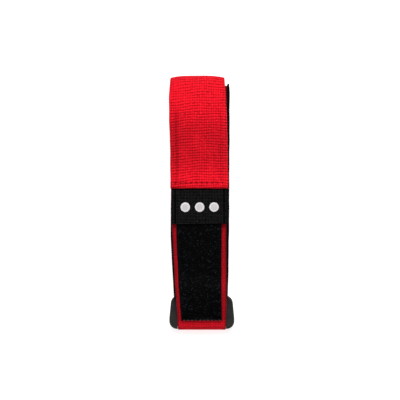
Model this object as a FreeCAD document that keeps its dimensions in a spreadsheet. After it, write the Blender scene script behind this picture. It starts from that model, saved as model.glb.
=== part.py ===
import FreeCAD, Part
import math
import os
import Sketcher

# A folded gear strap: red elastic webbing with a sewn-on loop-pile patch, a hook patch, an anti-slip liner,
# a folded pull tab and a plastic ring. It lies flat on its back, closed on itself.
#
# +Z is up (the front of the strap), +Y runs from the ring to the folds, +X is to the right.
# The origin is at the middle of the footprint, on the surface the strap lies on. Millimetres.
#
# The webbing's route, all in the Y-Z plane: an eye round the ring's near bar, the front run up to the inner
# fold, the inner run back down, a turn through the ring round its far bar, the back run up to the outer fold,
# and then the tail down the front, where its hooks hold on the front run's pile.

SIZES = {
    "half_length": 56.1,        # half of the folded length, along Y
    "webbing_thick": 1.3,
    "pile_thick": 1.5,
    "hook_thick": 1.0,
    "liner_thick": 0.7,
    "tab_thick": 0.9,
    "inner_level": 3.0,         # underside of the webbing's inner run
    "inner_hump": 5.3,          # the same where it crosses the ring's far bar
    "front_level": 5.3,         # underside of the front run
    "front_hump": 7.3,          # the same where it crosses the ring
    "tail_level": 9.3,          # underside of the tail
    "eye_radius": 1.8,          # inside of the sewn eye round the near bar
    "wrap_y": -43.4,            # centre of the turn round the far bar
    "inner_fold_y": 50.8,       # centre of the inner fold
    "inner_ramp_low": -36.0,    # the inner run climbs towards the ring between these two
    "inner_ramp_high": -41.0,
    "front_ramp_low": -32.0,    # the front run climbs between these two
    "front_ramp_high": -38.0,
    "front_drop": -46.0,        # and from here it drops to the eye
    "stock_width": 32.0,        # width of the strips before their sides are trimmed
    "strap_width": 24.4,
    "strap_shift": -1.15,       # how far the strap lies to the left of the ring's middle
    "squeezed_width": 21.2,     # width where the ring squeezes the webbing
    "taper_start": -14.0,
    "taper_end": -43.5,
    "pile_width": 19.7,
    "pile_shift": -1.2,
    "pile_ring_width": 17.7,
    "pile_front_end": -51.6,
    "pile_back_end": -35.0,
    "liner_width": 25.2,
    "liner_shift": -0.75,
    "liner_ring_width": 23.4,
    "liner_ring_shift": -0.35,
    "liner_top": 50.7,
    "liner_end": -40.6,
    "tail_width": 24.8,
    "tail_shift": -1.06,        # the tail's middle at its tip
    "tail_lean": -0.88,         # how much further left it lies at the fold
    "tail_bend_y": 23.4,        # below this the tail runs straight
    "tail_bend_top": 45.5,      # above this too
    "tail_tip": 6.3,
    "hinge_gap": 0.2,
    "hook_width": 19.9,
    "hook_low": 8.8,
    "hook_high": 40.2,
    "tab_width": 24.4,
    "tab_shift": -0.95,
    "tab_low": -9.3,
    "tab_pivot": 5.6,
    "tab_pivot_level": 8.8,
    "tab_seat_low": 6.6,
    "tab_seat_high": 8.5,
    "ring_level": 1.6,          # underside of the ring
    "ring_thick": 3.0,
    "ring_near": -55.65,
    "ring_far": -40.8,
    "ring_near_half": 14.35,
    "ring_far_half": 13.4,
    "ring_wide_y": -51.0,       # where the ring is widest
    "window_half": 10.7,
    "window_far": -43.7,
    "bar_radius": 1.45,
    "ring_corner": 3.55,
    "ring_edge": 0.8,
    "stitch_length": 1.7,
    "stitch_width": 0.5,
    "stitch_thick": 0.2,
    "buried_stitch": 0.1,       # thickness showing where a stitch sinks into pile or liner
    "mark_radius": 2.1,
    "mark_pitch": 6.3,
    "mark_thick": 0.1,
    "mark_y": -1.9,
    "pile_seam_inset": 1.0,     # how far a seam runs inside the edge of what it holds
    "hook_seam_inset": 0.8,
    "liner_seam_inset": 0.5,
    "ring_seam_gap": 0.6,       # from the loop patch's end to the seam that closes the eye
    "hem_seam_gap": 1.6,        # from the hem's row to the hook patch's side seams
}

STITCH_PITCH = 2.5
FOLD_LIP = 0.3                  # share of the webbing's thickness by which the outer fold passes the hinge

doc = FreeCAD.newDocument("gear_strap")
sheet = doc.addObject("Spreadsheet::Sheet", "Sizes")
for row, (alias, value) in enumerate(SIZES.items(), start=1):
    sheet.set("A%d" % row, alias.replace("_", " "))
    sheet.set("B%d" % row, str(value))
    sheet.setAlias("B%d" % row, alias)
doc.recompute()


working = doc.addObject("Spreadsheet::Sheet", "Working")


def cell(alias):
    """A sheet cell, as it is written in an expression."""
    return "Sizes." + alias


def amount(expression):
    """The number that an expression over the sheet comes to now."""
    working.set("A1", "=" + expression)
    working.recompute()
    return float(working.get("A1"))


# Heights and places that several pieces share, as expressions over the sheet.
WEB = cell("webbing_thick")
INNER_TOP = "(%s + %s)" % (cell("inner_level"), WEB)
INNER_HUMP_TOP = "(%s + %s)" % (cell("inner_hump"), WEB)
FRONT_TOP = "(%s + %s)" % (cell("front_level"), WEB)
FRONT_HUMP_TOP = "(%s + %s)" % (cell("front_hump"), WEB)
TAIL_TOP = "(%s + %s)" % (cell("tail_level"), WEB)
FOLD_OUTER = "(%s / 2)" % TAIL_TOP
FOLD_Y = "(%s - %s)" % (cell("half_length"), FOLD_OUTER)
INNER_FOLD_Z = "((%s + %s) / 2)" % (cell("inner_level"), FRONT_TOP)
WRAP_Z = "(%s / 2)" % INNER_HUMP_TOP
EYE_OUTER = "(%s + %s)" % (cell("eye_radius"), WEB)
EYE_Y = "(%s - %s)" % (EYE_OUTER, cell("half_length"))
HINGE_Y = "(%s - %s - %s / 2)" % (FOLD_Y, cell("hinge_gap"), WEB)
HINGE_Z = "(%s + %s / 2)" % (cell("tail_level"), WEB)


def new_body(label):
    body = doc.addObject("PartDesign::Body", label)
    body.Label = label
    return body


def attached_sketch(body, name, role):
    """An empty sketch on one of the body's own origin planes."""
    plane = [item for item in body.Origin.OriginFeatures if item.Role == role][0]
    sketch = body.newObject("Sketcher::SketchObject", name)
    sketch.AttachmentSupport = [(plane, "")]
    sketch.MapMode = "FlatFace"
    return sketch


def bind(sketch, kind, item, point, expression):
    """Ties one coordinate of a sketch point to an expression over the sheet."""
    number = sketch.addConstraint(Sketcher.Constraint(kind, item, point, amount(expression)))
    sketch.setExpression("Constraints[%d]" % number, expression)


def bind_point(sketch, item, point, across, up):
    bind(sketch, "DistanceX", item, point, across)
    bind(sketch, "DistanceY", item, point, up)


def arc_between(start, end, middle, turn):
    """An arc round middle from start to end, anticlockwise for turn +1, and the numbers of its two ends."""
    def angle(spot):
        return math.atan2(spot[1] - middle[1], spot[0] - middle[0])
    circle = Part.Circle(FreeCAD.Vector(*middle, 0), FreeCAD.Vector(0, 0, 1), math.dist(start, middle))
    if turn > 0:
        return Part.ArcOfCircle(circle, angle(start), angle(end)), 1, 2
    return Part.ArcOfCircle(circle, angle(end), angle(start)), 2, 1


def closed_outline(sketch, legs):
    """Draws a closed outline. A leg is the (across, up) it runs to; an arc adds its middle and turn."""
    spots = [(amount(leg[0]), amount(leg[1])) for leg in legs]
    ends = []
    for number, leg in enumerate(legs):
        start, end = spots[number - 1], spots[number]
        if len(leg) == 2:
            line = Part.LineSegment(FreeCAD.Vector(*start, 0), FreeCAD.Vector(*end, 0))
            item, first, last = sketch.addGeometry(line), 1, 2
        else:
            middle = (amount(leg[2]), amount(leg[3]))
            arc, first, last = arc_between(start, end, middle, leg[4])
            item = sketch.addGeometry(arc)
            bind(sketch, "DistanceX", item, 3, leg[2])
        bind_point(sketch, item, last, leg[0], leg[1])
        ends.append((item, first, last))
    for before, after in zip(ends[-1:] + ends[:-1], ends):
        sketch.addConstraint(Sketcher.Constraint("Coincident", before[0], before[2], after[0], after[1]))


def hole(sketch, across, up, radius):
    """A round hole in an outline."""
    middle = FreeCAD.Vector(amount(across), amount(up), 0)
    circle = Part.Circle(middle, FreeCAD.Vector(0, 0, 1), amount(radius))
    item = sketch.addGeometry(circle)
    bind_point(sketch, item, 3, across, up)
    number = sketch.addConstraint(Sketcher.Constraint("Radius", item, amount(radius)))
    sketch.setExpression("Constraints[%d]" % number, radius)


def strip(label, legs, eye=None):
    """A strip of cloth: its outline in the Y-Z plane, padded both ways along X to the stock width."""
    body = new_body(label)
    sketch = attached_sketch(body, label + "_route", "YZ_Plane")
    closed_outline(sketch, legs)
    if eye:
        hole(sketch, *eye)
    pad = body.newObject("PartDesign::Pad", label + "_strip")
    pad.Profile = sketch
    pad.SideType = "Symmetric"
    pad.setExpression("Length", cell("stock_width"))
    return body


def trim_sides(body, edges):
    """Cuts both sides of a strip back to the edges, given from +Y to -Y as (y, middle, width)."""
    sketch = attached_sketch(body, body.Label + "_sides", "XY_Plane")
    for side in ("-", "+"):
        out = "%s%s" % (side, cell("stock_width"))
        legs = [("%s %s %s / 2" % (middle, side, width), y) for y, middle, width in edges]
        legs += [(out, edges[-1][0]), (out, edges[0][0])]
        closed_outline(sketch, legs)
    cut = body.newObject("PartDesign::Pocket", body.Label + "_trim")
    cut.Profile = sketch
    cut.SideType = "Symmetric"
    cut.Type = "ThroughAll"
    return body


LONG_WAY = "%s * 2" % cell("half_length")


def make_strap_webbing():
    """The webbing from the eye on the ring to the outer fold, where the tail begins."""
    lip = "(%s + %s * %s)" % (FOLD_Y, WEB, FOLD_LIP)
    lip_z = "(%s + sqrt(%s ^ 2 - (%s - %s) ^ 2))" % (FOLD_OUTER, FOLD_OUTER, lip, FOLD_Y)
    join_y = "(%s + %s * sqrt(0.5))" % (EYE_Y, EYE_OUTER)
    join_z = "(%s + %s * sqrt(0.5))" % (EYE_OUTER, EYE_OUTER)
    eye_top = "(%s * 2)" % EYE_OUTER
    legs = [
        (FOLD_Y, HINGE_Z),
        (lip, lip_z),
        (FOLD_Y, "0", FOLD_Y, FOLD_OUTER, -1),
        (cell("wrap_y"), "0"),
        (cell("wrap_y"), INNER_HUMP_TOP, cell("wrap_y"), WRAP_Z, -1),
        (cell("inner_ramp_high"), INNER_HUMP_TOP),
        (cell("inner_ramp_low"), INNER_TOP),
        (cell("inner_fold_y"), INNER_TOP),
        (cell("inner_fold_y"), cell("front_level"), cell("inner_fold_y"), INNER_FOLD_Z, 1),
        (cell("front_ramp_low"), cell("front_level")),
        (cell("front_ramp_high"), cell("front_hump")),
        (cell("front_drop"), cell("front_hump")),
        (join_y, join_z),
        (EYE_Y, eye_top, EYE_Y, EYE_OUTER, -1),
        (cell("front_drop"), FRONT_HUMP_TOP),
        (cell("front_ramp_high"), FRONT_HUMP_TOP),
        (cell("front_ramp_low"), FRONT_TOP),
        (cell("inner_fold_y"), FRONT_TOP),
        (cell("inner_fold_y"), cell("inner_level"), cell("inner_fold_y"), INNER_FOLD_Z, -1),
        (cell("inner_ramp_low"), cell("inner_level")),
        (cell("inner_ramp_high"), cell("inner_hump")),
        (cell("wrap_y"), cell("inner_hump")),
        (cell("wrap_y"), WEB, cell("wrap_y"), WRAP_Z, 1),
        (FOLD_Y, WEB),
        (FOLD_Y, cell("tail_level"), FOLD_Y, FOLD_OUTER, 1),
    ]
    body = strip("strap_webbing", legs, eye=(EYE_Y, EYE_OUTER, cell("eye_radius")))
    return trim_sides(body, [
        (LONG_WAY, cell("strap_shift"), cell("strap_width")),
        (cell("taper_start"), cell("strap_shift"), cell("strap_width")),
        (cell("taper_end"), "0", cell("squeezed_width")),
        ("-" + LONG_WAY, "0", cell("squeezed_width")),
    ])


def make_tail_webbing():
    """The tail, from its rounded root at the outer fold to its hemmed tip."""
    body = strip("tail_webbing", [
        (cell("tail_tip"), TAIL_TOP),
        (cell("tail_tip"), cell("tail_level")),
        (HINGE_Y, cell("tail_level")),
        (HINGE_Y, TAIL_TOP, HINGE_Y, HINGE_Z, 1),
    ])
    return trim_sides(body, tail_edges(cell("tail_width")))


def tail_edges(width):
    """The tail leans: its middle moves left between its tip and the fold."""
    top = "(%s + %s)" % (cell("tail_shift"), cell("tail_lean"))
    return [
        (LONG_WAY, top, width),
        (cell("tail_bend_top"), top, width),
        (cell("tail_bend_y"), cell("tail_shift"), width),
        ("-" + LONG_WAY, cell("tail_shift"), width),
    ]


def make_loop_patch():
    """The loop pile on the webbing's outer side, along the front run and round the inner fold."""
    pile = cell("pile_thick")
    front, hump = (FRONT_TOP, FRONT_HUMP_TOP)
    end = cell("pile_front_end")
    slope = "((%s - 2 * %s) / (%s - %s))" % (hump, EYE_OUTER, cell("front_drop"), EYE_Y)
    end_z = "(%s - %s * (%s - %s))" % (hump, slope, cell("front_drop"), end)
    fold_y = cell("inner_fold_y")
    under = "(%s - %s)" % (cell("inner_level"), pile)
    body = strip("loop_patch", [
        (end, "%s + %s" % (end_z, pile)),
        (end, end_z),
        (cell("front_drop"), hump),
        (cell("front_ramp_high"), hump),
        (cell("front_ramp_low"), front),
        (fold_y, front),
        (fold_y, cell("inner_level"), fold_y, INNER_FOLD_Z, -1),
        (cell("pile_back_end"), cell("inner_level")),
        (cell("pile_back_end"), under),
        (fold_y, under),
        (fold_y, "%s + %s" % (front, pile), fold_y, INNER_FOLD_Z, 1),
        (cell("front_ramp_low"), "%s + %s" % (front, pile)),
        (cell("front_ramp_high"), "%s + %s" % (hump, pile)),
        (cell("front_drop"), "%s + %s" % (hump, pile)),
    ])
    return trim_sides(body, [
        (LONG_WAY, cell("pile_shift"), cell("pile_width")),
        (cell("taper_start"), cell("pile_shift"), cell("pile_width")),
        (end, "0", cell("pile_ring_width")),
        ("-" + LONG_WAY, "0", cell("pile_ring_width")),
    ])


def make_grip_liner():
    """The anti-slip strip on the inner run, a little wider than the webbing it is sewn to."""
    climb = "((%s - %s) / (%s - %s))" % (
        cell("inner_hump"), cell("inner_level"), cell("inner_ramp_low"), cell("inner_ramp_high"))
    end = cell("liner_end")
    end_z = "(%s + %s * (%s - %s))" % (INNER_TOP, climb, cell("inner_ramp_low"), end)
    thick = cell("liner_thick")
    body = strip("grip_liner", [
        (cell("liner_top"), INNER_TOP),
        (cell("liner_top"), "%s + %s" % (INNER_TOP, thick)),
        (cell("inner_ramp_low"), "%s + %s" % (INNER_TOP, thick)),
        (end, "%s + %s" % (end_z, thick)),
        (end, end_z),
        (cell("inner_ramp_low"), INNER_TOP),
    ])
    return trim_sides(body, [
        (LONG_WAY, cell("liner_shift"), cell("liner_width")),
        (cell("taper_start"), cell("liner_shift"), cell("liner_width")),
        (end, cell("liner_ring_shift"), cell("liner_ring_width")),
        ("-" + LONG_WAY, cell("liner_ring_shift"), cell("liner_ring_width")),
    ])


def slab(label, low_y, high_y, low_z, high_z):
    """A flat strip between two heights."""
    return strip(label, [(low_y, high_z), (low_y, low_z), (high_y, low_z), (high_y, high_z)])


def make_hook_patch():
    """The hooks sewn under the tail, which hold on the front run's pile."""
    under = "(%s - %s)" % (cell("tail_level"), cell("hook_thick"))
    body = slab("hook_patch", cell("hook_low"), cell("hook_high"), under, cell("tail_level"))
    return trim_sides(body, tail_edges(cell("hook_width")))


def make_pull_tab():
    """The folded tab beyond the tail's hem, rounded where it bends."""
    half = "%s / 2" % cell("tab_thick")
    low = "(%s - %s)" % (cell("tab_pivot_level"), half)
    high = "(%s + %s)" % (cell("tab_pivot_level"), half)
    pivot = cell("tab_pivot")
    body = strip("pull_tab", [
        (cell("tab_low"), high),
        (cell("tab_low"), low),
        (pivot, low),
        (pivot, high, pivot, cell("tab_pivot_level"), 1),
    ])
    return trim_sides(body, tab_edges())


def tab_edges():
    return [(y, cell("tab_shift"), cell("tab_width")) for y in (LONG_WAY, "-" + LONG_WAY)]


def make_tab_sewn_end():
    """The end of the tab that is caught in the hem, under the tail's tip."""
    under = "(%s - %s)" % (cell("tail_level"), cell("tab_thick"))
    body = slab("tab_sewn_end", cell("tab_seat_low"), cell("tab_seat_high"), under, cell("tail_level"))
    return trim_sides(body, tab_edges())


def make_ring():
    """The ring: two ears and a far bar in one plate, and a round near bar between the ears."""
    body = new_body("ring")
    sketch = attached_sketch(body, "ring_plan", "XY_Plane")
    near, far = (cell("ring_near"), cell("ring_far"))
    closed_outline(sketch, [
        ("-" + cell("ring_far_half"), far),
        ("-" + cell("ring_near_half"), cell("ring_wide_y")),
        ("-" + cell("ring_near_half"), near),
        ("-" + cell("window_half"), near),
        ("-" + cell("window_half"), cell("window_far")),
        (cell("window_half"), cell("window_far")),
        (cell("window_half"), near),
        (cell("ring_near_half"), near),
        (cell("ring_near_half"), cell("ring_wide_y")),
        (cell("ring_far_half"), far),
    ])
    sketch.setExpression("AttachmentOffset.Base.z", cell("ring_level"))
    plate = body.newObject("PartDesign::Pad", "ring_plate")
    plate.Profile = sketch
    plate.setExpression("Length", cell("ring_thick"))
    doc.recompute()
    corners = [name for name, edge in named_edges(plate) if is_outer_corner(edge)]
    rounds = body.newObject("PartDesign::Fillet", "ring_corners")
    rounds.Base = (plate, corners)
    rounds.setExpression("Radius", cell("ring_corner"))
    doc.recompute()
    edges = body.newObject("PartDesign::Fillet", "ring_edges")
    edges.Base = (rounds, [name for name, edge in named_edges(rounds) if is_outer_rim(edge)])
    edges.setExpression("Radius", cell("ring_edge"))
    bar = body.newObject("PartDesign::AdditiveCylinder", "ring_near_bar")
    bar.setExpression("Radius", cell("bar_radius"))
    bar.setExpression("Height", "2 * %s + %s" % (cell("window_half"), cell("bar_radius")))
    bar.Placement.Rotation = FreeCAD.Rotation(FreeCAD.Vector(0, 1, 0), 90)
    bar.setExpression("Placement.Base.x", "-%s - %s / 2" % (cell("window_half"), cell("bar_radius")))
    bar.setExpression("Placement.Base.y", EYE_Y)
    bar.setExpression("Placement.Base.z", EYE_OUTER)
    return body


def named_edges(feature):
    return [("Edge%d" % (number + 1), edge) for number, edge in enumerate(feature.Shape.Edges)]


def is_outer_corner(edge):
    """The plate's upright edges at its four outer corners."""
    first, last = (vertex.Point for vertex in edge.Vertexes)
    upright = abs(first.x - last.x) < 0.01 and abs(first.y - last.y) < 0.01
    return upright and abs(first.x) > amount(cell("ring_far_half")) - 0.01 and (
        abs(first.y - amount(cell("ring_far"))) < 0.01 or abs(first.y - amount(cell("ring_near"))) < 0.01)


def is_outer_rim(edge):
    """The edges round the outside of the plate's two flat faces."""
    level = edge.BoundBox.ZLength < 0.01
    middle = edge.valueAt((edge.FirstParameter + edge.LastParameter) / 2)
    beside = abs(middle.x) > amount(cell("window_half")) + 0.01
    beyond = middle.y > amount(cell("window_far")) + 0.01
    return level and (beside or beyond)


def row_of_stitches(label, rows, thick):
    """A group of flat stitches. A row is its start, its end and its surface's tilt about X, in degrees."""
    stitches = []
    for start, end, tilt in rows:
        start, end = (FreeCAD.Vector(*spot) for spot in (start, end))
        along = end - start
        count = max(2, round(along.Length / STITCH_PITCH))
        heading = math.degrees(math.atan2(along.y, along.x))
        for number in range(count):
            stitch = doc.addObject("Part::Box", "%s_%d" % (label, len(stitches) + 1))
            stitch.setExpression("Length", cell("stitch_length"))
            stitch.setExpression("Width", cell("stitch_width"))
            stitch.setExpression("Height", thick)
            turn = FreeCAD.Rotation(FreeCAD.Vector(1, 0, 0), tilt)
            turn = turn * FreeCAD.Rotation(FreeCAD.Vector(0, 0, 1), heading)
            corner = FreeCAD.Vector(amount(cell("stitch_length")) / 2, amount(cell("stitch_width")) / 2, 0)
            spot = start + along * ((number + 0.5) / count)
            stitch.Placement = FreeCAD.Placement(spot - turn.multVec(corner), turn)
            stitches.append(stitch)
    group = doc.addObject("Part::Compound", label)
    group.Label = label
    group.Links = stitches
    return group


def make_loop_patch_stitches():
    """The two seams down the loop patch's sides, on the level stretches of the front run."""
    top = amount(FRONT_TOP) + amount(cell("pile_thick"))
    hump = amount(FRONT_HUMP_TOP) + amount(cell("pile_thick"))
    middle = amount(cell("pile_shift"))
    half = amount(cell("pile_width")) / 2 - amount(cell("pile_seam_inset"))
    taper = (amount(cell("pile_ring_width")) - amount(cell("pile_width"))) / 2
    run = amount(cell("pile_front_end")) - amount(cell("taper_start"))

    def spot(side, y, z):
        part = min(1.0, max(0.0, (y - amount(cell("taper_start"))) / run))
        return (middle * (1 - part) + side * (half + taper * part), y, z)
    stretches = [
        (amount(cell("inner_fold_y")), amount(cell("taper_start")), top),
        (amount(cell("taper_start")), amount(cell("front_ramp_low")), top),
        (amount(cell("front_ramp_high")), amount(cell("front_drop")), hump),
    ]
    rows = [(spot(side, high, z), spot(side, low, z), 0) for side in (-1, 1) for high, low, z in stretches]
    return row_of_stitches("loop_patch_stitches", rows, cell("buried_stitch"))


def make_ring_seam_stitches():
    """The seam across the front run that closes the eye round the ring, just past the loop patch."""
    drop_y, hump, eye_y = (amount(cell("front_drop")), amount(FRONT_HUMP_TOP), amount(EYE_Y))
    slope = (hump - 2 * amount(EYE_OUTER)) / (drop_y - eye_y)
    y = amount(cell("pile_front_end")) - amount(cell("ring_seam_gap"))
    z = hump - slope * (drop_y - y)
    half = amount(cell("pile_ring_width")) / 2
    row = ((-half, y, z), (half, y, z), math.degrees(math.atan(slope)))
    return row_of_stitches("ring_seam_stitches", [row], cell("stitch_thick"))


def make_hook_patch_stitches():
    """The seam round the hook patch, showing on the front of the tail."""
    top = amount(TAIL_TOP)
    inset = amount(cell("hook_seam_inset"))
    half = amount(cell("hook_width")) / 2 - inset
    low, high = (amount(cell("hook_low")) + amount(cell("hem_seam_gap")), amount(cell("hook_high")) - inset)
    shift, lean = (amount(cell("tail_shift")), amount(cell("tail_lean")))
    bend_low, bend_high = (amount(cell("tail_bend_y")), amount(cell("tail_bend_top")))
    high_shift = shift + lean * (high - bend_low) / (bend_high - bend_low)
    rows = [((high_shift - half + inset, high, top), (high_shift + half - inset, high, top), 0)]
    for side in (-1, 1):
        rows.append(((high_shift + side * half, high, top), (shift + side * half, bend_low, top), 0))
        rows.append(((shift + side * half, bend_low, top), (shift + side * half, low, top), 0))
    return row_of_stitches("hook_patch_stitches", rows, cell("stitch_thick"))


def make_hem_stitches():
    """The row across the tail's tip that holds the hem and the tab."""
    y, top = (amount(cell("hook_low")), amount(TAIL_TOP))
    shift, half = (amount(cell("tail_shift")), amount(cell("hook_width")) / 2)
    return row_of_stitches("hem_stitches", [((shift - half, y, top), (shift + half, y, top), 0)],
                           cell("stitch_thick"))


def make_liner_stitches():
    """The seams along the liner's two edges."""
    top = amount(INNER_TOP) + amount(cell("liner_thick"))
    middle = amount(cell("liner_shift"))
    half = amount(cell("liner_width")) / 2 - amount(cell("liner_seam_inset"))
    high, low = (amount(cell("liner_top")), amount(cell("taper_start")))
    rows = [((middle + side * half, high, top), (middle + side * half, low, top), 0) for side in (-1, 1)]
    return row_of_stitches("liner_stitches", rows, cell("buried_stitch"))


def make_tab_mark():
    """Three plain round dots woven on the tab."""
    dots = []
    for number in (-1, 0, 1):
        dot = doc.addObject("Part::Cylinder", "tab_dot_%d" % (number + 2))
        dot.setExpression("Radius", cell("mark_radius"))
        dot.setExpression("Height", cell("mark_thick"))
        across = "%s + %d * %s" % (cell("tab_shift"), number, cell("mark_pitch"))
        dot.setExpression("Placement.Base.x", across)
        dot.setExpression("Placement.Base.y", cell("mark_y"))
        dot.setExpression("Placement.Base.z", "%s + %s / 2" % (cell("tab_pivot_level"), cell("tab_thick")))
        dots.append(dot)
    group = doc.addObject("Part::Compound", "tab_mark")
    group.Label = "tab_mark"
    group.Links = dots
    return group


def check_and_write(pieces):
    """Stops on any failed object or bad shape, then writes one STEP file for each piece."""
    doc.recompute()
    failed = [item.Name for item in doc.Objects if "Invalid" in item.State or "Error" in item.State]
    bad = [piece.Label for piece in pieces if piece.Shape.isNull() or not piece.Shape.isValid()]
    if failed or bad:
        raise RuntimeError("failed: %s, bad shapes: %s" % (failed, bad))
    os.makedirs("parts", exist_ok=True)
    for piece in pieces:
        piece.Shape.exportStep("parts/%s.step" % piece.Label)
        box = piece.Shape.BoundBox
        print("%-22s solids %3d volume %9.1f  x %6.2f %6.2f  y %6.2f %6.2f  z %6.2f %6.2f" % (
            piece.Label, len(piece.Shape.Solids), piece.Shape.Volume,
            box.XMin, box.XMax, box.YMin, box.YMax, box.ZMin, box.ZMax))


check_and_write([
    make_strap_webbing(),
    make_tail_webbing(),
    make_loop_patch(),
    make_grip_liner(),
    make_hook_patch(),
    make_pull_tab(),
    make_tab_sewn_end(),
    make_tab_mark(),
    make_ring(),
    make_loop_patch_stitches(),
    make_ring_seam_stitches(),
    make_hook_patch_stitches(),
    make_hem_stitches(),
    make_liner_stitches(),
])
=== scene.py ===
import math

import bmesh
import bpy
import numpy as np
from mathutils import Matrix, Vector


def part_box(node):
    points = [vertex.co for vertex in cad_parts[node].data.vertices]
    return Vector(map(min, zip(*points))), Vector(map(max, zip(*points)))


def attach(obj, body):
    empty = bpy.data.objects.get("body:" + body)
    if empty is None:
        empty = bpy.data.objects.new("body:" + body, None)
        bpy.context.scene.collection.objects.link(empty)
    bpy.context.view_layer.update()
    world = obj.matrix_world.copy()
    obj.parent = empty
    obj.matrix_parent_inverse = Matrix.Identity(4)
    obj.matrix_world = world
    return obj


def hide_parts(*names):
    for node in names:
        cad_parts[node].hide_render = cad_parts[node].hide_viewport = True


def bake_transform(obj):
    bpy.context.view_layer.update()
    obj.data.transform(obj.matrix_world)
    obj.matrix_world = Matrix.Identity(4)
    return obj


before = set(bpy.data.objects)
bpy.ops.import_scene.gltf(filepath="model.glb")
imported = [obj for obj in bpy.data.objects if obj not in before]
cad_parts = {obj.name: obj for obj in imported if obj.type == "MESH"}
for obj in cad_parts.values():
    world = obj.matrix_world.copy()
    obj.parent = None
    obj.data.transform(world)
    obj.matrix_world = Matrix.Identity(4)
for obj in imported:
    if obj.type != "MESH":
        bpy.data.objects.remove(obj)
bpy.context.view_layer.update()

# A folded elastic gear strap lying on its back: +Y runs from the ring to the folds, +Z is the strap's front.
# Lengths in this script are millimetres, and MM turns them into Blender's metres.
MM = 0.001


def box_mm(node):
    """A CAD node's lowest and highest corners, in millimetres."""
    low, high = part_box(node)
    return [c / MM for c in low], [c / MM for c in high]


# ---------------------------------------------------------------- places taken from the frame
WEB_LOW, WEB_HIGH = box_mm("strap_webbing")
TAIL_LOW, TAIL_HIGH = box_mm("tail_webbing")
PILE_LOW, PILE_HIGH = box_mm("loop_patch")
LINER_LOW, LINER_HIGH = box_mm("grip_liner")
HOOK_LOW, HOOK_HIGH = box_mm("hook_patch")
TAB_LOW, TAB_HIGH = box_mm("pull_tab")
MARK_LOW, MARK_HIGH = box_mm("tab_mark")

WEB = TAIL_HIGH[2] - TAIL_LOW[2]              # the webbing's thickness
HALF = WEB / 2
TAIL_LEVEL = (TAIL_HIGH[2] + TAIL_LOW[2]) / 2
FOLD_R = (TAIL_LEVEL - HALF) / 2
FOLD_Z = HALF + FOLD_R
FOLD_Y = WEB_HIGH[1] - HALF - FOLD_R
TIP_Y = TAIL_LOW[1]
LINER = 0.7
PILE = 1.5
EASED = 1.6                                    # how far a line's corners are eased
PILE_END = PILE_LOW[1] - 0.1
FRONT = LINER_LOW[2] + LINER + 0.3 + HALF      # middle of the front run, above the liner
INNER = PILE_LOW[2] + PILE + HALF              # middle of the inner run
INNER_FOLD_Z = (FRONT + INNER) / 2
INNER_FOLD_R = (FRONT - INNER) / 2
INNER_FOLD_Y = PILE_HIGH[1] - PILE - WEB / 2 - INNER_FOLD_R
EYE_HOLE = 1.8                                 # inner radius of the eye in the webbing's end
EYE_R = EYE_HOLE + HALF
EYE_Z = EYE_HOLE + WEB
EYE_Y = WEB_LOW[1] + EYE_Z
WRAP_R = 2.65                                  # the turn round the ring's far bar
WRAP_Z = HALF + WRAP_R
WRAP_Y = -43.4
RAMP_LOW, RAMP_HIGH = -36.0, -41.0             # the inner run climbs to the ring between these
HUMP = 7.95                                    # middle of the front run where it crosses the ring
HUMP_HIGH, HUMP_LOW, DROP = -38.0, -32.0, -46.0


# ---------------------------------------------------------------- lines in the Y-Z plane
def arc(y, z, radius, start, end):
    """Points on an arc round (y, z), with angles in degrees from +Y towards +Z."""
    turn = np.radians(np.linspace(start, end, max(8, int(abs(end - start) / 5))))
    return np.column_stack([y + radius * np.cos(turn), z + radius * np.sin(turn)])


def spaced(line, step):
    """The same line with evenly spaced points."""
    line = np.asarray(line, float)
    far = np.r_[0, np.cumsum(np.hypot(*np.diff(line, axis=0).T))]
    count = max(2, int(round(far[-1] / step)))
    at = np.linspace(0, far[-1], count + 1)
    return np.column_stack([np.interp(at, far, line[:, k]) for k in (0, 1)])


def softened(line, step, reach):
    """An evenly spaced line whose corners are eased over reach."""
    line = spaced(line, step)
    half = max(1, int(reach / step / 2))
    for _ in range(2):
        padded = np.vstack([2 * line[0] - line[half:0:-1], line, 2 * line[-1] - line[-2:-half - 2:-1]])
        total = np.vstack([np.zeros(2), np.cumsum(padded, axis=0)])
        line = (total[2 * half + 1:] - total[:-2 * half - 1]) / (2 * half + 1)
    return spaced(line, step)


def smooth_step(value, low, high):
    part = np.clip((np.asarray(value, float) - low) / (high - low), 0, 1)
    return part * part * (3 - 2 * part)


def ripple(x, along, seed, size=9.0):
    """Low, uneven waves from -1 to 1, the same each run."""
    total = 0
    for k in range(4):
        turn = seed * 1.7 + k * 2.1
        way = x * math.cos(turn) + along * math.sin(turn)
        total = total + np.sin(way * 2 * math.pi / (size * (0.6 + 0.35 * k)) + seed * 3 + k)
    return total / 4


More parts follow.
